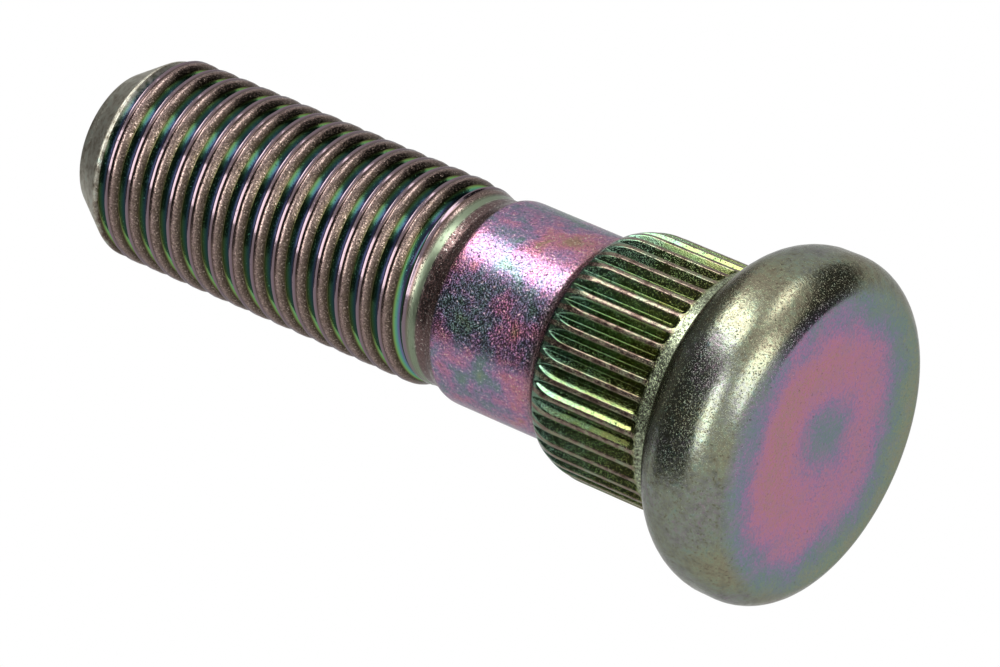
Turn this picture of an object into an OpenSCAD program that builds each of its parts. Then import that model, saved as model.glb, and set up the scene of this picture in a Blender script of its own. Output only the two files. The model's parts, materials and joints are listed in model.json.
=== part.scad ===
// Press-in wheel stud, cold headed and rolled from one piece of steel wire.
// It stands on its head: the flat outer face lies on z = 0 and the thread points up.

/* [Head] */
// Diameter over the rounded rim
head_d = 19.9; // [16.6:0.1:24]
// Height from the outer face to the seat under the head
head_h = 6.3; // [5.2:0.1:8]
// Round of the rim on the side of the outer face
rim_face_r = 2.65; // [2:0.05:3.2]
// Round of the rim on the side of the seat
rim_seat_r = 3.65; // [2:0.05:4.5]
// Small round where the rim runs into the flat outer face
face_edge_r = 1.18; // [0.4:0.02:1.5]
// How far round the rim, from its widest line, the small round begins
face_edge_from = 60; // [45:1:75]
// Least width of the flat seat ring between the collar and the rim
seat_ring_w = 0.95; // [0.5:0.05:1.3]

/* [Serrations] */
// Diameter over the serrations, and of the plain collar under the head
knurl_d = 14.3; // [13.4:0.1:17.2]
// Plain collar between the seat and the closed ends of the grooves
collar_len = 1.2; // [0.6:0.1:2.5]
// Length from the seat to the front edge of the serrations
knurl_len = 8.4; // [6:0.1:14]
// Number of grooves round the stud
teeth = 44; // [36:1:54]
// Angle from +X to the middle of the first groove
first_groove = -2.2; // [-5:0.1:5]
// Depth of a groove
groove_depth = 0.4; // [0.2:0.02:0.5]
// Width left on top of each ridge
ridge_w = 0.3; // [0.15:0.01:0.45]
// Width of the floor of each groove, from which its walls slope up to the ridges
groove_floor_w = 0.1; // [0.05:0.01:0.25]
// Slope of the ramp that closes a groove at the collar, from the axis
groove_end_angle = 40; // [25:1:70]
// Length of the round lead-in that presses into the hub first
lead_len = 1.8; // [0.8:0.1:3]
// How far the lead-in drops below the serrations
lead_drop = 0.44; // [0.2:0.02:0.6]

/* [Shank] */
// Diameter of the plain shank
shank_d = 11.9; // [11.4:0.05:12.8]
// Length of the plain shank, with the foot of the serrations
shank_len = 7.6; // [4:0.1:20]
// Slope of the foot between the serrations and the shank, from the axis
foot_angle = 45; // [30:1:70]
// Hollow round where that foot meets the shank
foot_fillet_r = 0.8; // [0.3:0.05:1.2]
// Slope of the shoulder where the shank drops to the neck, from the axis
shoulder_angle = 30; // [20:1:60]
// Length of the neck between that shoulder and the thread
neck_len = 0.8; // [0.4:0.1:3]

/* [Thread] */
// Nominal size of the metric thread
thread_size = 12; // [10:1:12]
// Pitch of the thread
pitch = 1.5; // [1.25:0.25:2]
// How far the rolled crests lie under the nominal size, on the diameter
thread_under = 0.14; // [0.04:0.02:0.26]
// Length from the neck to the end of the stud, with the run-out and the chamfer
thread_len = 24.9; // [16:0.1:60]
// Diameter of the flat end
tip_d = 8.5; // [6:0.1:9.5]
// Slope of the chamfer on the end, from the axis
tip_angle = 34; // [25:1:45]

/* [Hidden] */

// Degrees between the points of a turned round
arc_step = 6;

head_r = head_d / 2;
knurl_r = knurl_d / 2;
shank_r = shank_d / 2;
tip_r = tip_d / 2;
thread_r = (thread_size - thread_under) / 2;
// A thread is rolled up from wire of its pitch diameter, which the neck keeps
neck_r = (thread_size - 0.6495 * pitch) / 2;

// The rim's rounds, as [distance from the axis, height] of their centres
widest_z = (rim_face_r - face_edge_r) * sin(face_edge_from) + face_edge_r;
face_round = [head_r - rim_face_r, widest_z];
face_edge_x = face_round[0] + (rim_face_r - face_edge_r) * cos(face_edge_from);
face_edge = [face_edge_x, face_edge_r];
// The round towards the seat is limited by the height and width that the rim has there
rim_h = head_h - widest_z;
rim_w = head_r - knurl_r - seat_ring_w;
seat_round_r = min(rim_seat_r, (pow(rim_h, 2) / rim_w + rim_w) / 2);
seat_round_to = acos(max(0, 1 - rim_w / seat_round_r));
seat_round = [head_r - seat_round_r, head_h - seat_round_r * sin(seat_round_to)];

// The lead-in is a round that leaves the serrations without an edge
lead_r = (pow(lead_len, 2) + pow(lead_drop, 2)) / (2 * lead_drop);
lead_turn = asin(lead_len / lead_r);
lead_end_r = knurl_r - lead_drop;

// The foot's hollow round touches the sloping foot and the shank
fillet_w = foot_fillet_r * (1 - cos(foot_angle));
foot_h = (lead_end_r - shank_r - fillet_w) / tan(foot_angle);

// Heights up the stud
groove_z = head_h + collar_len;
knurl_z = head_h + knurl_len;
fillet_z = knurl_z + foot_h + foot_fillet_r * sin(foot_angle);
shank_z = knurl_z + shank_len;
neck_z = shank_z + (shank_r - neck_r) / tan(shoulder_angle);
thread_z = neck_z + neck_len;
end_z = thread_z + thread_len;
// The run-out rises to the full thread over one pitch
full_thread_z = thread_z + pitch;
chamfer_z = end_z - (thread_r - tip_r) / tan(tip_angle);

// A groove's floor, its width at the top, and how far each wall leans over for its height
groove_floor_r = knurl_r - groove_depth;
groove_top_w = 2 * PI * knurl_r / teeth - ridge_w;
wall_lean = (groove_top_w - groove_floor_w) / 2 / groove_depth;
// How far a cutter stands proud of the surface that it cuts
proud = 0.3;

// Points round a centre, from one angle to another. With first = 1 it leaves out its first
// point, where it carries on from another arc.
function arc(centre, r, from, to, first = 0) =
    let (n = ceil(abs(to - from) / arc_step))
    [for (i = [first:n]) let (a = from + (to - from) * i / n)
        centre + r * [cos(a), sin(a)]];

// Half section of the head: flat face, rounded rim, seat ring
function head_outline() = concat(
    [[0, 0]],
    arc(face_edge, face_edge_r, -90, -face_edge_from),
    arc(face_round, rim_face_r, -face_edge_from, 0, first = 1),
    arc(seat_round, seat_round_r, 0, seat_round_to),
    [[knurl_r, head_h]]
);

// Half section of the collar and serrations, with their lead-in and foot, and the shank
function shank_outline() = concat(
    arc([knurl_r - lead_r, knurl_z - lead_len], lead_r, 0, lead_turn),
    arc([shank_r + foot_fillet_r, fillet_z], foot_fillet_r, 180 + foot_angle, 180),
    [[shank_r, shank_z]]
);

// Half section of the neck, the thread and the chamfered end
function thread_outline() = [
    [neck_r, neck_z],
    [neck_r, thread_z],
    [thread_r, full_thread_z],
    [thread_r, chamfer_z],
    [tip_r, end_z],
    [0, end_z]
];

// The whole stud as it is before its serrations are formed
module blank() {
    rotate_extrude($fn = 96)
        polygon(concat(head_outline(), shank_outline(), thread_outline()));
}

// One groove: sloping walls, a flat floor, and a ramp that closes it at the collar. Its front
// end is open, and narrows to the floor where the lead-in drops to it.
module groove() {
    outer_r = knurl_r + proud;
    outer_w = groove_top_w + 2 * proud * wall_lean;
    start_z = groove_z - proud / tan(groove_end_angle);
    ramp_z = groove_z + groove_depth / tan(groove_end_angle);
    front_z = knurl_z + foot_h;
    intersection() {
        translate([0, 0, start_z])
            linear_extrude(front_z - start_z)
                polygon([
                    [groove_floor_r, -groove_floor_w / 2],
                    [outer_r, -outer_w / 2],
                    [outer_r, outer_w / 2],
                    [groove_floor_r, groove_floor_w / 2]
                ]);
        rotate([90, 0, 0])
            linear_extrude(2 * outer_w, center = true)
                polygon([
                    [groove_floor_r, ramp_z],
                    [outer_r, start_z],
                    [outer_r + proud, start_z],
                    [outer_r + proud, front_z + proud],
                    [groove_floor_r - proud, front_z + proud],
                    [groove_floor_r - proud, ramp_z]
                ]);
    }
}

module wheel_stud() {
    color([0.63, 0.61, 0.47])
        difference() {
            blank();
            for (i = [0:teeth - 1])
                rotate(first_groove + i * 360 / teeth)
                    groove();
        }
}

wheel_stud();
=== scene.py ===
# Looks of the press-in wheel stud: its serrations, its helical thread and its iridescent zinc plate.
import json
from math import acos, atan2, ceil, cos, pi, radians, sin, sqrt, tan

import bmesh
import bpy
from mathutils import Matrix, Quaternion, Vector, noise


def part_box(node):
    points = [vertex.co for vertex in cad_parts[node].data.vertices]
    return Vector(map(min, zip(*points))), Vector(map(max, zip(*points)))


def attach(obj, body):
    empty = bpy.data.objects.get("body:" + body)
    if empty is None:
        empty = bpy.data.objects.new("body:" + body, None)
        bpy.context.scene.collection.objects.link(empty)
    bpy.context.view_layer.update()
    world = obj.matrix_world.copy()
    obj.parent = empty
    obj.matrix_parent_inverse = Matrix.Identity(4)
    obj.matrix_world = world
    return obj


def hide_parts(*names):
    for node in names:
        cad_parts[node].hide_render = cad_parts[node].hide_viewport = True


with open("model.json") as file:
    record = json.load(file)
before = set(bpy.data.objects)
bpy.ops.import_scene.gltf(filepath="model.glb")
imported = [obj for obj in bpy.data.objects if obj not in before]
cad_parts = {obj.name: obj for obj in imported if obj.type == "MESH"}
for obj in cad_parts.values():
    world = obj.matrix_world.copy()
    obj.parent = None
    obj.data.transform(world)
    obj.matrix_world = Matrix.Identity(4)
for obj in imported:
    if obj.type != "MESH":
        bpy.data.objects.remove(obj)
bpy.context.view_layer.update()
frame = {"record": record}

# Sizes are in millimetres while the stud is modelled, and the finished mesh is scaled by this
MM = 0.001

NODE = "wheel_stud"
mounts = {m["name"]: m for m in frame["record"]["mounts"]}


def pin_ends(name):
    """Radius and both end heights of one of the record's pins, in millimetres."""
    middle = mounts[name]["pos_m"][2] / MM
    half = mounts[name]["dims"]["length_mm"] / 2
    return mounts[name]["dims"]["r_mm"], middle - half, middle + half


# What the frame gives
HEAD_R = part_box(NODE)[1].x / MM
END_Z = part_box(NODE)[1].z / MM
HEAD_H = mounts["head_seat"]["pos_m"][2] / MM
THREAD_R, FULL_THREAD_Z, CHAMFER_Z = pin_ends("thread")
SHANK_R, FILLET_Z, SHANK_Z = pin_ends("shank")

# Head: rounds of the rim, and the flat ring of the seat
RIM_FACE_R = 2.65
RIM_SEAT_R = 3.65
FACE_EDGE_R = 1.18
FACE_EDGE_FROM = radians(60)
SEAT_RING_W = 0.95

# Serrations
KNURL_R = 7.15
COLLAR_LEN = 1.2
KNURL_LEN = 8.4
TEETH = 44
# Angle from +X to the middle of the first groove
FIRST_GROOVE = radians(-2.2)
GROOVE_DEPTH = 0.4
RIDGE_W = 0.3
GROOVE_FLOOR_W = 0.1
GROOVE_RAMP = 0.5
GROOVE_CORNER_R = 0.25
LEAD_LEN = 1.8
LEAD_DROP = 0.44
FOOT_ANGLE = radians(45)
FOOT_FILLET_R = 0.8
# Round on the edges of the ridges and of the groove floors
TOOTH_EDGE = 0.04
# Least round and least half floor, which keep the points of a closing groove apart
MIN_EDGE = 0.012
MIN_HALF_FLOOR = 0.03

# Neck and thread
PITCH = 1.5
NECK_R = (12 - 0.6495 * PITCH) / 2
SHOULDER_ANGLE = radians(30)
ROOT_DEPTH = 0.7
TIP_R = 4.25
# Height, on the +X side, of the upper side of the furrow in one crest
FURROW_Z = 34.98
# Round between the thread and its chamfer, and height of the soft edge at the flat end
TIP_EDGE = 0.12
# Depth down to which the thread counts as crest, and scale of how far a crest falls short
CREST_DEPTH = 0.3
CREST_SHORT = 0.03
# Pitches over which the thread rises from the neck to its full depth
RUN_OUT_PITCHES = 1.2

# Steps round the stud, and the largest step of a turned round
TURN_STEPS = 176
THREAD_STEPS = 132
ARC_STEP = radians(7)
# Vertices nearer than this become one
MERGE_DISTANCE = 0.0005
# Heights or radii nearer than this count as the same
NEAR = 0.001
# Edges sharper than this aren't smoothed over
SHARP_ANGLE = radians(50)

# Heights and radii that follow
widest_z = (RIM_FACE_R - FACE_EDGE_R) * sin(FACE_EDGE_FROM) + FACE_EDGE_R
face_edge_x = HEAD_R - RIM_FACE_R + (RIM_FACE_R - FACE_EDGE_R) * cos(FACE_EDGE_FROM)
rim_h = HEAD_H - widest_z
rim_w = HEAD_R - KNURL_R - SEAT_RING_W
seat_round_r = min(RIM_SEAT_R, (rim_h ** 2 / rim_w + rim_w) / 2)
seat_round_to = acos(max(0, 1 - rim_w / seat_round_r))
groove_z = HEAD_H + COLLAR_LEN
knurl_z = HEAD_H + KNURL_LEN
lead_z = knurl_z - LEAD_LEN
lead_r = (LEAD_LEN ** 2 + LEAD_DROP ** 2) / (2 * LEAD_DROP)
lead_end_r = KNURL_R - LEAD_DROP
groove_floor_r = KNURL_R - GROOVE_DEPTH
wall_lean = (pi * KNURL_R / TEETH - RIDGE_W / 2 - GROOVE_FLOOR_W / 2) / GROOVE_DEPTH
neck_z = SHANK_Z + (SHANK_R - NECK_R) / tan(SHOULDER_ANGLE)
thread_z = FULL_THREAD_Z - PITCH
# The serrations' piece ends a third of the way down the foot
foot_z = knurl_z + (lead_end_r - SHANK_R) / 3


def deselect_everything():
    bpy.ops.object.select_all(action="DESELECT")


def steps(start, end, count):
    """count values from start to end, both included."""
    return [start + (end - start) * i / (count - 1) for i in range(count)]


def arc(centre, r, start, end, first=0):
    """Points of an arc in a half section, as (distance from the axis, height)."""
    count = ceil(abs(end - start) / ARC_STEP) + 1
    return [(centre[0] + r * cos(a), centre[1] + r * sin(a)) for a in steps(start, end, count)[first:]]


def half_section(name, points):
    """A vertex extruded from point to point of a half section, in the plane Y = 0."""
    deselect_everything()
    x, z = points[0]
    bpy.ops.mesh.primitive_plane_add(size=1, location=(x, 0, z))
    piece = bpy.context.object
    piece.name = name
    bpy.ops.object.transform_apply(location=True)
    bpy.ops.object.mode_set(mode="EDIT")
    bpy.ops.mesh.merge(type="CENTER")
    for x2, z2 in points[1:]:
        bpy.ops.mesh.extrude_region_move(TRANSFORM_OT_translate={"value": (x2 - x, 0, z2 - z)})
        x, z = x2, z2
    bpy.ops.mesh.select_all(action="SELECT")
    return piece


def turned(name, points, count):
    """A half section spun once round the axis, with its seam and its pole closed."""
    piece = half_section(name, points)
    bpy.ops.mesh.spin(steps=count, angle=2 * pi, center=(0, 0, 0), axis=(0, 0, 1))
    bpy.ops.mesh.select_all(action="SELECT")
    bpy.ops.mesh.remove_doubles(threshold=MERGE_DISTANCE)
    bpy.ops.object.mode_set(mode="OBJECT")
    return piece


def put_round(vertex, r, angle):
    """Puts a vertex at a distance from the axis and an angle round it, at its own height."""
    vertex.co.x = r * cos(angle)
    vertex.co.y = r * sin(angle)


def smooth_step(x):
    x = min(1, max(0, x))
    return x * x * (3 - 2 * x)


def soft_min(a, b, k):
    """The lesser of two numbers, rounded over about k where they cross."""
    h = max(k - abs(a - b), 0) / k
    return min(a, b) - h * h * k / 4


def head():
    """Flat outer face, rounded rim and the outer part of the seat ring."""
    outline = [(x, 0) for x in steps(0, face_edge_x, 9)]
    outline += arc((face_edge_x, FACE_EDGE_R), FACE_EDGE_R, -pi / 2, -FACE_EDGE_FROM, 1)
    outline += arc((HEAD_R - RIM_FACE_R, widest_z), RIM_FACE_R, -FACE_EDGE_FROM, 0, 1)
    seat_centre = (HEAD_R - seat_round_r, HEAD_H - seat_round_r * sin(seat_round_to))
    outline += arc(seat_centre, seat_round_r, 0, seat_round_to, 1)
    outline += [(KNURL_R + SEAT_RING_W / 2, HEAD_H)]
    return turned("head", outline, TURN_STEPS)


def lead_in_r(z):
    """Distance from the axis to the top of a ridge, which drops at the round lead-in."""
    return KNURL_R - lead_r + sqrt(lead_r ** 2 - max(0, z - lead_z) ** 2)


def groove_depth(z):
    """Depth of a groove: a ramp at the collar, then level, then run out where the lead-in drops."""
    ramp = smooth_step((z - groove_z) / GROOVE_RAMP)
    return max(0, min(GROOVE_DEPTH * ramp, lead_in_r(z) - groove_floor_r))


def tooth_section(z):
    """Half a tooth and half a groove, as (distance round from the ridge's middle, depth)."""
    depth = groove_depth(z)
    share = sqrt(depth / GROOVE_DEPTH)
    edge = max(MIN_EDGE, TOOTH_EDGE * share)
    half_space = pi * lead_in_r(z) / TEETH
    floor_edge = half_space - max(MIN_HALF_FLOOR, GROOVE_FLOOR_W / 2 * share)
    # At the collar a groove is shallow but keeps its width, up to its rounded corners
    corner = min(1, max(0, (z - groove_z) / GROOVE_CORNER_R))
    wall_w = min(GROOVE_DEPTH, lead_in_r(z) - groove_floor_r) * wall_lean * sqrt(1 - (1 - corner) ** 2)
    ridge_edge = floor_edge - max(edge, wall_w)
    return [
        (0, 0),
        (ridge_edge - 2 * edge, 0),
        (ridge_edge - edge * 0.4, min(depth, edge * 0.3)),
        (ridge_edge + edge * 0.3, min(depth, edge * 1.3)),
        (floor_edge - edge * 0.3, max(0, depth - edge * 1.3)),
        (floor_edge + edge * 0.5, max(0, depth - edge * 0.2)),
        (half_space, depth),
    ]


def serrations():
    """Inner part of the seat ring, plain collar, and the ridges and grooves with their lead-in."""
    heights = [HEAD_H + 0.1, HEAD_H + 0.6, groove_z - 0.1]
    heights += steps(groove_z, groove_z + GROOVE_RAMP, 9)
    heights += steps(groove_z + GROOVE_RAMP, lead_z, 5)[1:]
    heights += steps(lead_z, knurl_z, 15)[1:]
    outline = [(KNURL_R + 0.1, HEAD_H)] + [(lead_in_r(z), z) for z in heights]
    outline.append((lead_end_r + knurl_z - foot_z, foot_z))
    half = len(tooth_section(groove_z)) - 1
    piece = turned("serrations", outline, TEETH * half * 2)
    for v in piece.data.vertices:
        if not HEAD_H < v.co.z <= knurl_z + NEAR:
            continue
        column = round(atan2(v.co.y, v.co.x) / pi * TEETH * half)
        tooth = round(column / (2 * half))
        from_ridge = column - tooth * 2 * half
        shift, depth = tooth_section(min(v.co.z, knurl_z))[abs(from_ridge)]
        r = lead_in_r(min(v.co.z, knurl_z))
        turn = shift / r if from_ridge > 0 else -shift / r
        put_round(v, r - depth, tooth * 2 * pi / TEETH + turn)
    # The first ridge is half a tooth on from the first groove
    piece.data.transform(Matrix.Rotation(FIRST_GROOVE + pi / TEETH, 4, "Z"))
    return piece


def shank():
    """Sloping foot with its hollow round, plain shank, rounded shoulder and neck."""
    outline = [(lead_end_r + knurl_z - foot_z - 0.06, foot_z + 0.06)]
    outline += arc((SHANK_R + FOOT_FILLET_R, FILLET_Z), FOOT_FILLET_R, pi + FOOT_ANGLE, pi)
    outline += [(SHANK_R, z) for z in steps(FILLET_Z, SHANK_Z - 0.35, 8)[1:]]
    # The shoulder is round where it leaves the shank, and where it reaches the neck
    outline += [(SHANK_R - 0.015, SHANK_Z - 0.12), (SHANK_R - 0.07, SHANK_Z + 0.1)]
    outline += [(NECK_R + 0.07, neck_z - 0.1), (NECK_R + 0.015, neck_z + 0.1), (NECK_R, neck_z + 0.25)]
    return turned("shank", outline, TURN_STEPS)


def crest_profile():
    """One pitch of the rolled thread, as (depth below the crest, height from the furrow's upper side).

    Rolling pushes the crest up from both sides. It leaves a rough land that rounds over towards
    the head, a furrow where the two sides don't quite close, and a narrow lip beyond it.
    """
    return [
        (ROOT_DEPTH, -0.952),
        (0.66, -0.925),
        (0.52, -0.838),
        (0.38, -0.751),
        (0.285, -0.6924),
        (0.265, -0.68),
        (0.242, -0.654),
        (0.178, -0.577),
        (0.085, -0.447),
        (0.034, -0.355),
        (0.011, -0.285),
        (0.003, -0.24),
        (0.004, -0.2),
        (0.014, -0.165),
        (0.04, -0.125),
        (0.05, -0.095),
        (0.045, -0.06),
        (0.03, -0.01),
        (0.011, 0.05),
        (0, 0.1),
        (0.01, 0.13),
        (0.05, 0.16),
        (0.15, 0.218),
        (0.4, 0.362),
        (0.66, 0.512),
        (ROOT_DEPTH, PITCH - 0.952),
    ]


def thread():
    """The rolled right-hand thread, run out at the neck and chamfered at its end."""
    below = ceil((FURROW_Z - thread_z) / PITCH) + 2
    above = ceil((END_Z - FURROW_Z) / PITCH) + 1
    first_z = FURROW_Z - below * PITCH
    piece = half_section("thread", [(THREAD_R - depth, first_z + z) for depth, z in crest_profile()])
    bpy.ops.object.mode_set(mode="OBJECT")
    helix = piece.modifiers.new("helix", "SCREW")
    helix.axis = "Z"
    helix.screw_offset = PITCH
    helix.iterations = below + above
    helix.steps = THREAD_STEPS
    helix.render_steps = THREAD_STEPS
    bpy.ops.object.modifier_apply(modifier="helix")
    slope = (THREAD_R - TIP_R) / (END_Z - CHAMFER_Z)
    for v in piece.data.vertices:
        r = sqrt(v.co.x ** 2 + v.co.y ** 2)
        # The edges of the crests aren't quite even, as the steel doesn't fill the rolls everywhere
        if r > THREAD_R - CREST_DEPTH:
            r -= CREST_SHORT * max(0, noise.noise(v.co * 0.9) + 0.5 * noise.noise(v.co * 2.6))
        run_out = smooth_step((v.co.z - thread_z) / (RUN_OUT_PITCHES * PITCH))
        chamfer_r = THREAD_R - (v.co.z - CHAMFER_Z) * slope
        r2 = soft_min(NECK_R + (r - NECK_R) * run_out, chamfer_r, TIP_EDGE)
        put_round(v, r2, atan2(v.co.y, v.co.x))
    bpy.ops.object.mode_set(mode="EDIT")
    bpy.ops.mesh.select_all(action="SELECT")
    bpy.ops.mesh.remove_doubles(threshold=MERGE_DISTANCE)
    for z, above_is_cut in ((thread_z - 0.1, False), (END_Z - TIP_EDGE, True)):
        bpy.ops.mesh.select_all(action="SELECT")
        bpy.ops.mesh.bisect(
            plane_co=(0, 0, z), plane_no=(0, 0, 1), clear_outer=above_is_cut, clear_inner=not above_is_cut
        )
    bpy.ops.object.mode_set(mode="OBJECT")
    return piece


def end():
    """The flat threaded end, with a soft edge to the chamfer."""
    slope = (THREAD_R - TIP_R) / (END_Z - CHAMFER_Z)
    outline = [(TIP_R + slope * TIP_EDGE * 0.6, END_Z - TIP_EDGE * 0.6), (TIP_R - 0.03, END_Z - 0.015)]
    outline += [(x, END_Z) for x in steps(TIP_R - 0.15, 0, 6)]
    return turned("end", outline, THREAD_STEPS)


def joined(pieces, gap_heights):
    """The pieces as one mesh, with a bridge across the gap between each and the next."""
    deselect_everything()
    for piece in pieces:
        piece.select_set(True)
    bpy.context.view_layer.objects.active = pieces[0]
    bpy.ops.object.join()
    stud = bpy.context.object
    stud.name = "plated_stud"
    stud.data.name = "plated_stud"
    bpy.ops.object.mode_set(mode="EDIT")
    bpy.ops.mesh.select_mode(type="EDGE")
    for bottom, top in gap_heights:
        bpy.ops.mesh.select_all(action="DESELECT")
        mesh = bmesh.from_edit_mesh(stud.data)
        for edge in mesh.edges:
            if edge.is_boundary and all(bottom < v.co.z < top for v in edge.verts):
                edge.select = True
        bmesh.update_edit_mesh(stud.data)
        bpy.ops.mesh.bridge_edge_loops()
    bpy.ops.mesh.select_all(action="SELECT")
    bpy.ops.mesh.normals_make_consistent(inside=False)
    bpy.ops.object.mode_set(mode="OBJECT")
    return stud


# Between these heights lie the open edges of each piece and the next
gaps = [
    (HEAD_H - 0.01, HEAD_H + 0.01),
    (foot_z - 0.01, foot_z + 0.07),
    (neck_z + 0.2, thread_z - 0.05),
    (END_Z - 2 * TIP_EDGE, END_Z - TIP_EDGE * 0.5),
]
stud = joined([head(), serrations(), shank(), thread(), end()], gaps)


def linear(level):
    """One channel of a screen's colour, from 0 to 255, as Blender's linear value."""
    share = level / 255
    return share / 12.92 if share <= 0.04045 else ((share + 0.055) / 1.055) ** 2.4


def display(red, green, blue):
    """A colour as it shows on a screen, from 0 to 255, as Blender's linear colour."""
    return linear(red), linear(green), linear(blue), 1


class Tree:
    """Short ways to add and link nodes in a material's or a group's node tree."""

    def __init__(self, tree):
        self.tree = tree
        tree.nodes.clear()

    def add(self, kind, inputs=None, **settings):
        """A node, with some of its sockets set to a value or linked to another node's socket."""
        made = self.tree.nodes.new(kind)
        for name, value in settings.items():
            setattr(made, name, value)
        for name, value in (inputs or {}).items():
            if isinstance(value, bpy.types.NodeSocket):
                self.tree.links.new(value, made.inputs[name])
            else:
                made.inputs[name].default_value = value
        return made

    def show(self, shader, output="ShaderNodeOutputMaterial"):
        """Links a shader to the output of the material or the world."""
        self.tree.links.new(shader.outputs[0], self.add(output).inputs["Surface"])

    def math(self, operation, *values):
        """The result of a Math node."""
        return self.add("ShaderNodeMath", dict(enumerate(values)), operation=operation).outputs[0]

    def total(self, first, *others):
        """The sum of some values."""
        for value in others:
            first = self.math("ADD", first, value)
        return first

    def swing(self, value, size):
        """A noise value taken as a swing to either side of nothing."""
        return self.math("MULTIPLY_ADD", value, size, -size / 2)

    def length(self, x, y):
        """The length of two values taken at a right angle."""
        return self.math("SQRT", self.total(self.math("MULTIPLY", x, x), self.math("MULTIPLY", y, y)))

    def ramp(self, value, stops):
        """A ColorRamp from a list of (position, colour or grey)."""
        made = self.add("ShaderNodeValToRGB", {0: value})
        elements = made.color_ramp.elements
        while len(elements) < len(stops):
            elements.new(0.5)
        for element, (position, colour) in zip(elements, stops):
            element.position = position
            element.color = colour if isinstance(colour, tuple) else (colour, colour, colour, 1)
        return made.outputs[0]

    def remap(self, value, low, high, to_low=0.0, to_high=1.0):
        """A value taken from one range to another, and held there."""
        sockets = {"Value": value, "From Min": low, "From Max": high, "To Min": to_low, "To Max": to_high}
        return self.add("ShaderNodeMapRange", sockets).outputs[0]

    def mix(self, share, a, b, blend="MIX"):
        """One colour mixed over another."""
        made = self.add("ShaderNodeMix", data_type="RGBA", blend_type=blend)
        for socket, value in ((0, share), (6, a), (7, b)):
            if isinstance(value, bpy.types.NodeSocket):
                self.tree.links.new(value, made.inputs[socket])
            else:
                made.inputs[socket].default_value = value
        return made.outputs[2]

    def noise(self, vector, size, detail=2.0, roughness=0.5, distortion=0.0):
        """Noise from 0 to 1 whose features are about a size in millimetres."""
        sockets = {"Vector": vector, "Scale": 1 / size, "Detail": detail, "Roughness": roughness}
        return self.add("ShaderNodeTexNoise", {**sockets, "Distortion": distortion}).outputs[0]

    def group(self, tree, **inputs):
        """A placed node group."""
        made = self.tree.nodes.new("ShaderNodeGroup")
        made.node_tree = tree
        for name, value in inputs.items():
            socket = made.inputs[name.replace("_", " ").capitalize()]
            if isinstance(value, bpy.types.NodeSocket):
                self.tree.links.new(value, socket)
            else:
                socket.default_value = value
        return made


def new_group(name, inputs, outputs):
    """An empty node group with named sockets, and its input and output nodes."""
    tree = bpy.data.node_groups.new(name, "ShaderNodeTree")
    for socket, kind in inputs.items():
        tree.interface.new_socket(socket, in_out="INPUT", socket_type="NodeSocket" + kind)
    for socket, kind in outputs.items():
        tree.interface.new_socket(socket, in_out="OUTPUT", socket_type="NodeSocket" + kind)
    work = Tree(tree)
    return tree, work, work.add("NodeGroupInput"), work.add("NodeGroupOutput")


# Gain on the height of the few steep grains, and of all the others
STEEP_GAIN = 1500.0
GENTLE_GAIN = 0.08

# Size of the grain of each finish, in millimetres
HEAD_GRAIN = 0.12
SERRATION_GRAIN = 0.1
SHANK_GRAIN = 0.13
THREAD_GRAIN = 0.13

# Depth of the bumps for a height of 1 on each finish, in millimetres
HEAD_BUMPS = 0.03
SERRATION_BUMPS = 0.04
SHANK_BUMPS = 0.1
THREAD_BUMPS = 0.04

# Colour and roughness of the plate where the thread runs out at the neck
RUN_OUT_PLATE = display(118, 129, 108)
RUN_OUT_ROUGH = 0.34

# How the metal's reflection is tinted at a glancing angle
GLANCING_TINT = (0.6, 0.6, 0.6, 1)


def stud_place_group():
    """Millimetres along each axis, height, and turns round from +X towards +Y."""
    outputs = {"Place": "Vector", "Height": "Float", "Turn": "Float"}
    tree, work, _, result = new_group("place on the stud", {}, outputs)
    coordinates = work.add("ShaderNodeTexCoord").outputs["Object"]
    scaling = {0: coordinates, "Scale": 1 / MM}
    place_mm = work.add("ShaderNodeVectorMath", scaling, operation="SCALE").outputs[0]
    axes = work.add("ShaderNodeSeparateXYZ", {0: place_mm}).outputs
    turn = work.math("DIVIDE", work.math("ARCTAN2", axes[1], axes[0]), 2 * pi)
    for socket, value in (("Place", place_mm), ("Height", axes[2]), ("Turn", turn)):
        work.tree.links.new(value, result.inputs[socket])
    return tree


def film_group():
    """A run of the passivated zinc's colours, which stands in for its film from thin to thick."""
    tree, work, given, result = new_group("film colour", {"Thickness": "Float"}, {"Colour": "Color"})
    colour = work.ramp(given.outputs[0], [
        (0.00, display(124, 118, 96)),
        (0.15, display(124, 130, 104)),
        (0.30, display(112, 128, 112)),
        (0.42, display(103, 122, 122)),
        (0.54, display(118, 117, 138)),
        (0.64, display(140, 111, 142)),
        (0.76, display(160, 112, 138)),
        (0.87, display(166, 113, 126)),
        (1.00, display(150, 122, 106)),
    ])
    work.tree.links.new(colour, result.inputs[0])
    return tree


def grain_group():
    """Fine grain of the plated steel: its height, and a mask of its small dark pits."""
    inputs = {"Place": "Vector", "Size": "Float"}
    tree, work, given, result = new_group("plated grain", inputs, {"Height": "Float", "Pits": "Float"})
    finer = work.add("ShaderNodeVectorMath", {0: given.outputs["Place"]}, operation="DIVIDE")
    work.tree.links.new(given.outputs["Size"], finer.inputs[1])
    grains = work.math("SUBTRACT", work.noise(finer.outputs[0], 1.0, detail=2.0, roughness=0.6), 0.5)
    # Gentle for the most part, with a few steep grains that sparkle
    outliers = work.math("POWER", work.math("ABSOLUTE", grains), 4.0)
    steepness = work.math("MULTIPLY_ADD", outliers, STEEP_GAIN, GENTLE_GAIN)
    spots = work.noise(given.outputs["Place"], 0.32, detail=2.0, roughness=0.7)
    work.tree.links.new(work.math("MULTIPLY", grains, steepness), result.inputs["Height"])
    work.tree.links.new(work.remap(spots, 0.66, 0.74), result.inputs["Pits"])
    return tree


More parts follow.
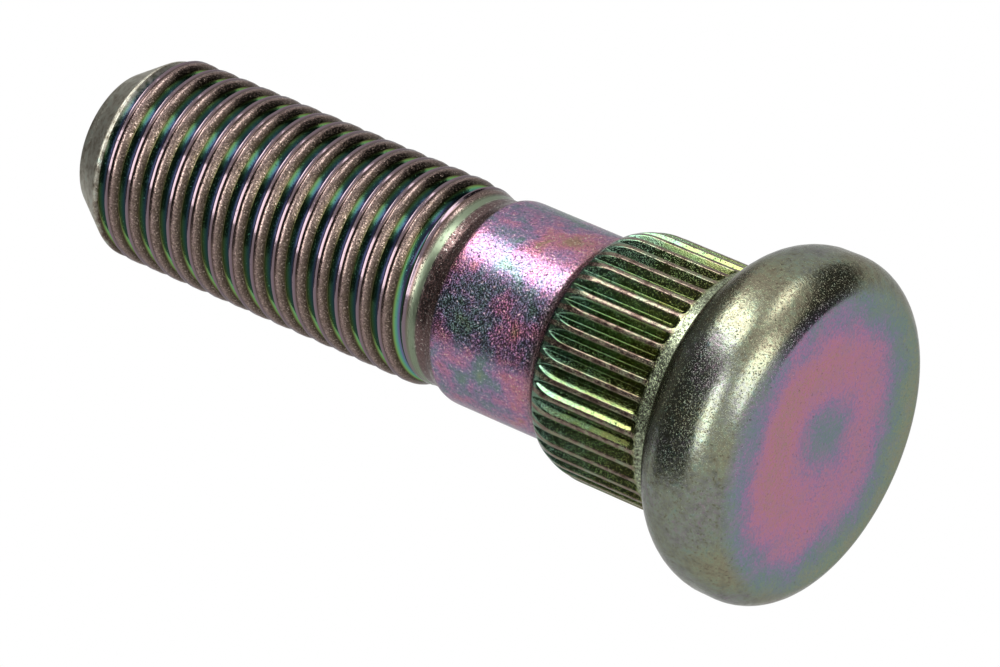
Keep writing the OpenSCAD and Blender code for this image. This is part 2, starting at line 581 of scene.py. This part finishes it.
place_group = stud_place_group()
film = film_group()
grain = grain_group()


def plated(name, build):
    """A metal material. The function gives its colour, roughness, height and depth of bumps."""
    material = bpy.data.materials.new(name)
    material.use_nodes = True
    work = Tree(material.node_tree)
    shader = work.add("ShaderNodeBsdfPrincipled", {"Metallic": 1.0, "Specular Tint": GLANCING_TINT})
    work.show(shader)
    colour, roughness, height, depth = build(work, work.group(place_group).outputs)
    bump = work.add("ShaderNodeBump", {"Height": height, "Strength": 1.0, "Distance": depth * MM})
    work.tree.links.new(colour, shader.inputs["Base Color"])
    work.tree.links.new(roughness, shader.inputs["Roughness"])
    work.tree.links.new(bump.outputs[0], shader.inputs["Normal"])
    return material


def head_finish(work, place):
    """Rings of pink, violet and teal on the face, and a mottled grey-green and brown rim."""
    axes = work.add("ShaderNodeSeparateXYZ", {0: place["Place"]}).outputs
    grains = work.group(grain, place=place["Place"], size=HEAD_GRAIN).outputs
    broad = work.noise(place["Place"], 5.0, detail=1.0)
    streaky = work.noise(place["Place"], 1.3, detail=2.0)
    # The rings lie a little to the +X side of the middle, in millimetres, and wander
    rings_x = 0.7
    ring_r = work.length(work.math("SUBTRACT", axes[0], rings_x), axes[1])
    ring_r = work.total(ring_r, work.swing(broad, 3.2), work.swing(streaky, 2.2))
    ring = work.ramp(work.math("DIVIDE", ring_r, 10), [
        (0.00, 0.44), (0.10, 0.47), (0.18, 0.59), (0.26, 0.71), (0.38, 0.80), (0.50, 0.80),
        (0.60, 0.71), (0.68, 0.56), (0.76, 0.42), (0.84, 0.34), (1.00, 0.27),
    ])
    fine = work.noise(place["Place"], 0.2, detail=3.0, roughness=0.7)
    # The film is taken to be thicker on the +X side, by this much for each millimetre
    thicker_by = 0.016
    ring = work.total(ring, work.swing(fine, 0.7), work.math("MULTIPLY", axes[0], thicker_by))
    face = work.group(film, thickness=ring).outputs[0]
    veil = work.remap(work.noise(place["Place"], 1.6, detail=4.0, roughness=0.65), 0.42, 0.7, 0.0, 0.3)
    face = work.mix(veil, face, display(136, 121, 120))
    face = work.mix(1.0, face, (1.1, 1.08, 1.1, 1), blend="MULTIPLY")
    mottle = work.noise(place["Place"], 0.55, detail=5.0, roughness=0.7)
    rim = work.ramp(mottle, [
        (0.30, display(86, 74, 62)), (0.40, display(112, 104, 90)), (0.50, display(124, 119, 102)),
        (0.58, display(128, 130, 108)), (0.70, display(110, 124, 116)),
    ])
    # Faint patches of the film's thinner colours lie over the rim
    rim_film = work.total(work.remap(broad, 0.3, 0.7, 0.0, 0.5), work.swing(fine, 0.8))
    rim = work.mix(0.4, rim, work.group(film, thickness=rim_film).outputs[0])
    rim = work.mix(work.remap(fine, 0.42, 0.32, 0.0, 0.6), rim, display(66, 56, 46))
    colour = work.mix(work.remap(place["Height"], 0.02, 0.5), face, rim)
    colour = work.mix(work.math("MULTIPLY", grains["Pits"], 0.5), colour, display(60, 52, 44))
    rough = work.remap(mottle, 0.3, 0.7, 0.27, 0.17)
    # The flat face is smoother than the rim
    unevenness = work.remap(place["Height"], 0.1, 1.0, 0.1, 0.7)
    height = work.math("MULTIPLY_ADD", mottle, unevenness, grains["Height"])
    return colour, rough, height, HEAD_BUMPS


def serration_finish(work, place):
    """Grey-green collar, grooves from yellow-green to teal at their front, rough pinkish ridges."""
    grains = work.group(grain, place=place["Place"], size=SERRATION_GRAIN).outputs
    uneven = work.noise(place["Place"], 1.0, detail=4.0, roughness=0.65)
    # From the middle of a groove, which is 0, to the middle of a ridge, which is 0.5
    teeth_on = work.math("MULTIPLY_ADD", place["Turn"], TEETH, -FIRST_GROOVE / (2 * pi) * TEETH)
    across = work.math("PINGPONG", teeth_on, 0.5)
    in_teeth = work.remap(place["Height"], groove_z - 0.1, groove_z + 0.2)
    on_ridge = work.math("MULTIPLY", work.remap(across, 0.33, 0.37), in_teeth)
    forward = work.total(work.remap(place["Height"], groove_z, knurl_z), work.swing(uneven, 1.6))
    groove = work.ramp(forward, [
        (0.0, display(116, 120, 74)), (0.5, display(102, 122, 80)), (1.0, display(96, 122, 104)),
    ])
    ridge = work.ramp(uneven, [
        (0.35, display(82, 68, 60)), (0.47, display(118, 104, 94)), (0.55, display(124, 120, 100)),
        (0.65, display(118, 126, 106)),
    ])
    speckle = work.noise(place["Place"], 0.16, detail=3.0, roughness=0.7)
    speckle = work.total(speckle, work.swing(uneven, 0.4))
    collar = work.ramp(speckle, [
        (0.34, display(80, 78, 64)), (0.48, display(122, 130, 110)), (0.64, display(158, 166, 138)),
    ])
    colour = work.mix(in_teeth, collar, groove)
    colour = work.mix(on_ridge, colour, ridge)
    colour = work.mix(work.math("MULTIPLY", grains["Pits"], 0.6), colour, display(48, 42, 34))
    # The grooves are smoothest, then the ridges, then the collar
    rough = work.remap(on_ridge, 0.0, 1.0, 0.1, 0.2)
    rough = work.math("ADD", rough, work.remap(in_teeth, 0.0, 1.0, 0.16, 0.0))
    in_groove = work.math("SUBTRACT", in_teeth, on_ridge)
    grainy = work.remap(uneven, 0.42, 0.58, 0.25, 1.0)
    grainy = work.math("MAXIMUM", grainy, work.remap(in_groove, 1.0, 0.0, 0.0, 1.5))
    return colour, rough, work.math("MULTIPLY", grains["Height"], grainy), SERRATION_BUMPS


def shank_finish(work, place):
    """Patches of pink, violet and grey-green, a pink-brown foot, and a brown shoulder and neck darkened
    with painted shade.
    """
    grains = work.group(grain, place=place["Place"], size=SHANK_GRAIN).outputs
    uneven = work.noise(place["Place"], 2.6, detail=2.0, distortion=0.5)
    mottle = work.noise(place["Place"], 0.6, detail=3.0, roughness=0.6)
    # The film wanders to either side of its mean thickness, whatever the side of the stud
    mean_thickness = 0.62
    patches = work.total(mean_thickness, work.swing(uneven, 1.3))
    fine = work.noise(place["Place"], 0.15, detail=3.0, roughness=0.7)
    patches = work.total(patches, work.swing(mottle, 0.5), work.swing(fine, 0.35))
    on_shoulder = work.remap(place["Height"], SHANK_Z - 0.05, SHANK_Z + 0.15)
    by_thread = work.remap(place["Height"], thread_z - 0.25, thread_z - 0.1)
    near_foot = work.remap(place["Height"], FILLET_Z + 0.3, FILLET_Z - 0.5)
    colour = work.group(film, thickness=patches).outputs[0]
    colour = work.mix(work.math("MULTIPLY", near_foot, 0.8), colour, display(138, 106, 98))
    # The shoulder and the neck above it take a darker brown. This is the plate's brown with painted shade
    # averaged in.
    colour = work.mix(on_shoulder, colour, display(98, 80, 78))
    colour = work.mix(by_thread, colour, RUN_OUT_PLATE)
    # Single grains are dark or bright. They are the plate's grain, and in part painted glints and painted
    # dark reflections of its sparkle.
    colour = work.mix(work.remap(fine, 0.44, 0.34, 0.0, 0.5), colour, display(42, 38, 36))
    colour = work.mix(work.remap(fine, 0.58, 0.66, 0.0, 0.55), colour, display(196, 192, 184))
    colour = work.mix(work.math("MULTIPLY", grains["Pits"], 0.4), colour, display(52, 46, 42))
    rough = work.remap(uneven, 0.3, 0.7, 0.18, 0.23)
    rough = work.math("MAXIMUM", rough, work.math("MULTIPLY", by_thread, RUN_OUT_ROUGH))
    return colour, rough, grains["Height"], SHANK_BUMPS


def thread_finish(work, place):
    """Rough brown lands, a smooth lip, and flanks from violet through teal and green to olive, with
    painted shade at the edges of the lands and in the furrows.
    """
    pitches = work.math("DIVIDE", work.math("SUBTRACT", place["Height"], FURROW_Z), PITCH)
    # Share of a pitch above the upper side of the furrow
    phase = work.math("FRACT", work.math("SUBTRACT", pitches, place["Turn"]))
    # Colours across one pitch are the film's own colours with painted shade in them. A near-black line
    # runs from 0.54 to 0.62, where the flank turns into the land. The land darkens from its lightest at
    # 0.78 towards its lower edge, and darkens again in the furrow from 0.90 to 0.95.
    film_with_painted_shade = work.ramp(phase, [
        (0.00, display(114, 99, 106)), (0.085, display(118, 104, 111)), (0.115, display(112, 114, 118)),
        (0.36, display(108, 106, 120)), (0.38, display(90, 88, 124)), (0.41, display(88, 108, 130)),
        (0.44, display(80, 130, 124)), (0.475, display(88, 142, 110)), (0.51, display(104, 142, 82)),
        (0.54, display(84, 86, 52)), (0.56, display(48, 44, 31)), (0.62, display(66, 57, 48)),
        (0.70, display(98, 84, 77)), (0.78, display(130, 112, 107)), (0.84, display(118, 99, 96)),
        (0.90, display(96, 80, 75)), (0.95, display(94, 78, 74)), (0.985, display(110, 95, 101)),
    ])
    grains = work.group(grain, place=place["Place"], size=THREAD_GRAIN).outputs
    on_land = work.math("MULTIPLY", work.remap(phase, 0.54, 0.60), work.remap(phase, 0.91, 0.87))
    uneven = work.noise(place["Place"], 0.45, detail=4.0, roughness=0.7)
    dirt = work.math("MULTIPLY", on_land, work.remap(uneven, 0.48, 0.66, 0.0, 0.5))
    colour = work.mix(dirt, film_with_painted_shade, display(76, 66, 50))
    # Single grains on the land are dark or bright. They are the plate's grain, and in part painted glints
    # and painted dark reflections of its sparkle.
    speckle = work.noise(place["Place"], 0.1, detail=2.0, roughness=0.7)
    dark_grains_and_dark_reflections = work.math("MULTIPLY", on_land, work.remap(speckle, 0.46, 0.34, 0.0, 0.6))
    bright_grains_and_glints = work.math("MULTIPLY", on_land, work.remap(speckle, 0.56, 0.7, 0.0, 0.6))
    colour = work.mix(dark_grains_and_dark_reflections, colour, display(52, 42, 36))
    colour = work.mix(bright_grains_and_glints, colour, display(184, 166, 154))
    run_out = work.remap(place["Height"], thread_z + 0.5, thread_z + 0.2)
    colour = work.mix(run_out, colour, RUN_OUT_PLATE)
    # The chamfered end is dull, and pale without the film's colours
    ragged_height = work.total(place["Height"], work.swing(uneven, 0.4))
    cut = work.remap(ragged_height, CHAMFER_Z - 0.1, CHAMFER_Z + 0.15)
    bare = work.ramp(uneven, [
        (0.35, display(130, 124, 110)), (0.55, display(172, 169, 156)), (0.70, display(164, 174, 162)),
    ])
    colour = work.mix(cut, colour, bare)
    dull = work.math("MULTIPLY", run_out, RUN_OUT_ROUGH)
    dull = work.math("MAXIMUM", dull, work.math("MULTIPLY", cut, 0.42))
    rough = work.math("MAXIMUM", work.remap(on_land, 0.0, 1.0, 0.11, 0.2), dull)
    height = work.math("MULTIPLY", grains["Height"], work.remap(on_land, 0.0, 1.0, 0.08, 1.0))
    return colour, rough, height, THREAD_BUMPS


def finish_by_zone(stud):
    """Gives each stretch of the stud its own finish, by the height and place of its faces."""
    finishes = [
        plated("head_plate", head_finish),
        plated("serration_plate", serration_finish),
        plated("shank_plate", shank_finish),
        plated("thread_plate", thread_finish),
    ]
    for material in finishes:
        stud.data.materials.append(material)
    for face in stud.data.polygons:
        z = face.center.z
        r = sqrt(face.center.x ** 2 + face.center.y ** 2)
        if z <= HEAD_H + NEAR and r > KNURL_R + NEAR:
            face.material_index = 0
        elif z < foot_z - NEAR:
            face.material_index = 0 if z < NEAR else 1
        elif z < thread_z - 0.1:
            face.material_index = 2
        else:
            face.material_index = 3


finish_by_zone(stud)
stud.data.transform(Matrix.Scale(MM, 4))
deselect_everything()
stud.select_set(True)
bpy.context.view_layer.objects.active = stud
bpy.ops.object.shade_smooth_by_angle(angle=SHARP_ANGLE)
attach(stud, "root")
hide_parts(NODE)


# How far the lamps and the dark cards stand from the middle of the stud, in metres
LAMP_DISTANCE = 0.5
CARD_DISTANCE = 0.42

# Hole in the floor under the head, in millimetres, and how many times wider the floor is
FLOOR_HOLE_R = 8.3
FLOOR_REACH = 180

# The camera's sensor and lens, and its place and aim, all in millimetres
SENSOR_W = 36
LENS = 267.35
CAMERA_AT = (347.15, 0, -187.23)
CAMERA_AIM = (0, -1.5, 21.36)
CAMERA_ROLL = radians(-66.65)


def from_the_stud(azimuth, elevation, distance):
    """A point round the middle of the stud. Azimuth turns from +X towards +Y."""
    a, e = radians(azimuth), radians(elevation)
    return Vector((cos(e) * cos(a), cos(e) * sin(a), sin(e))) * distance + Vector((0, 0, END_Z / 2 * MM))


def facing_the_stud(thing, azimuth, elevation, distance, lean):
    """Puts a lamp or card at a point, turned to the stud, and leans it over in its own plane."""
    thing.location = from_the_stud(azimuth, elevation, distance)
    back = thing.location - from_the_stud(0, 0, 0)
    thing.rotation_mode = "QUATERNION"
    thing.rotation_quaternion = back.to_track_quat("Z", "Y") @ Quaternion((0, 0, 1), radians(lean))


def lamp(name, azimuth, elevation, width, height, lean, brightness):
    """A soft rectangular lamp that the camera doesn't see. A brightness of 1 is white paper's."""
    light = bpy.data.lights.new(name, "AREA")
    light.shape = "RECTANGLE"
    light.size = width
    light.size_y = height
    light.energy = brightness * pi * width * height
    thing = bpy.data.objects.new(name, light)
    bpy.context.scene.collection.objects.link(thing)
    facing_the_stud(thing, azimuth, elevation, LAMP_DISTANCE, lean)
    thing.visible_camera = False


def dark_card(name, azimuth, elevation, width, height, lean, grey):
    """A dark card that only reflections see, for the dark bands that round metal has in a studio."""
    deselect_everything()
    bpy.ops.mesh.primitive_plane_add(size=1)
    card = bpy.context.object
    card.name = name
    card.scale = (width, height, 1)
    facing_the_stud(card, azimuth, elevation, CARD_DISTANCE, lean)
    card.visible_camera = False
    card.visible_diffuse = False
    card.visible_shadow = False
    card.visible_transmission = False
    material = bpy.data.materials.new(name)
    material.use_nodes = True
    work = Tree(material.node_tree)
    work.show(work.add("ShaderNodeEmission", {"Color": (grey, grey, grey, 1)}))
    card.data.materials.append(material)


def floor():
    """A pale floor round the face that the stud stands on. From below it isn't seen."""
    deselect_everything()
    bpy.ops.mesh.primitive_circle_add(vertices=96, radius=FLOOR_HOLE_R * MM, location=(0, 0, 0))
    ground = bpy.context.object
    ground.name = "floor"
    bpy.ops.object.mode_set(mode="EDIT")
    bpy.ops.mesh.extrude_region_move()
    bpy.ops.transform.resize(value=(FLOOR_REACH, FLOOR_REACH, 1))
    bpy.ops.mesh.select_all(action="SELECT")
    bpy.ops.mesh.normals_make_consistent(inside=False)
    bpy.ops.object.mode_set(mode="OBJECT")
    if ground.data.polygons[0].normal.z < 0:
        ground.data.flip_normals()
    material = bpy.data.materials.new("floor_paper")
    material.use_nodes = True
    work = Tree(material.node_tree)
    paper = work.add("ShaderNodeBsdfDiffuse", {"Color": display(242, 242, 240)})
    clear = work.add("ShaderNodeBsdfTransparent")
    below = work.add("ShaderNodeNewGeometry").outputs["Backfacing"]
    work.show(work.add("ShaderNodeMixShader", {0: below, 1: paper.outputs[0], 2: clear.outputs[0]}))
    ground.data.materials.append(material)
    # The metal reflects the white surroundings, and light from below reaches it
    ground.visible_glossy = False
    ground.visible_shadow = False


def surroundings():
    """White all round for the camera and for reflections, and a softer fill on the floor."""
    world = bpy.data.worlds.new("studio")
    bpy.context.scene.world = world
    world.use_nodes = True
    work = Tree(world.node_tree)
    path = work.add("ShaderNodeLightPath").outputs
    seen = work.math("MAXIMUM", path["Is Camera Ray"], path["Is Glossy Ray"])
    seen = work.math("MAXIMUM", seen, path["Is Transmission Ray"])
    strength = work.remap(seen, 0.0, 1.0, 0.7, 1.0)
    background = work.add("ShaderNodeBackground", {"Color": (1, 1, 1, 1), "Strength": strength})
    work.show(background, "ShaderNodeOutputWorld")


def camera():
    """The photograph's view: a long lens from beside and below, rolled so that the stud lies over."""
    data = bpy.data.cameras.new("camera")
    data.sensor_width = SENSOR_W
    data.lens = LENS
    data.clip_start = 0.01
    data.clip_end = 10
    thing = bpy.data.objects.new("camera", data)
    bpy.context.scene.collection.objects.link(thing)
    thing.location = Vector(CAMERA_AT) * MM
    aim = Vector(CAMERA_AIM) * MM
    roll = Quaternion((0, 0, 1), CAMERA_ROLL)
    thing.rotation_mode = "QUATERNION"
    thing.rotation_quaternion = (aim - thing.location).to_track_quat("-Z", "Y") @ roll
    bpy.context.scene.camera = thing


floor()
surroundings()
camera()
# Azimuth, elevation, width, height, lean, and a lamp's brightness or a card's grey. The places
# were first worked out from the reflections in the photograph's rounded rim.
lamp("level_softbox", -9, 2, 0.38, 0.19, 0, 5.2)
lamp("side_softbox", 48, 32, 0.17, 0.38, -37, 7.0)
lamp("far_softbox", 71, -4, 0.27, 0.12, 38, 5.2)
lamp("low_softbox", 27, -48, 0.32, 0.32, 0, 4.6)
dark_card("high_card", -18, 48, 0.62, 0.50, 0, 0.08)
dark_card("overhead_card", 100, 80, 0.46, 0.46, 0, 0.18)
dark_card("side_card", 112, -32, 0.31, 0.70, 0, 0.06)

bpy.context.scene.view_settings.view_transform = "Standard"
